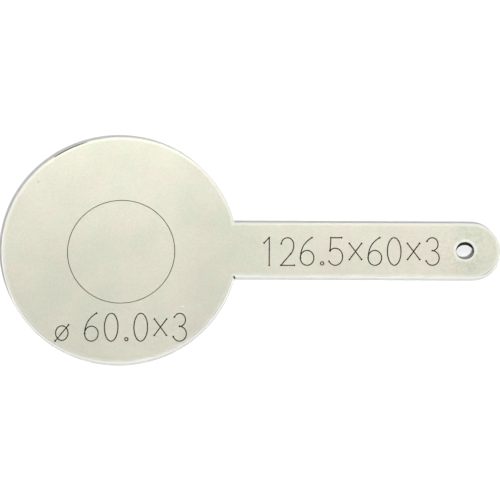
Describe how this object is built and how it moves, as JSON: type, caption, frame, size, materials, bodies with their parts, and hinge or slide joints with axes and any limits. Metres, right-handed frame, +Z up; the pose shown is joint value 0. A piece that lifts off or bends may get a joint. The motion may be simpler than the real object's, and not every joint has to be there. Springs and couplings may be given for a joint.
{
  "type": "pipe blind plate",
  "caption": "Flat round steel plate with a straight handle tab, clamped between pipe flanges to close off the line.",
  "frame": {"origin": "centre of the disc on the plate's under face", "axes": "+Z up through the plate's thickness to the scribed face, +X from the disc's centre along the tab, +Y across the tab"},
  "size_m": [0.1265, 0.06, 0.003],
  "materials": {
    "plate": "dull mill-finished stainless sheet, warm grey, with dark scribed lines"
  },
  "bodies": {
    "root": {"blind_plate": "plate"}
  },
  "joints": []
}
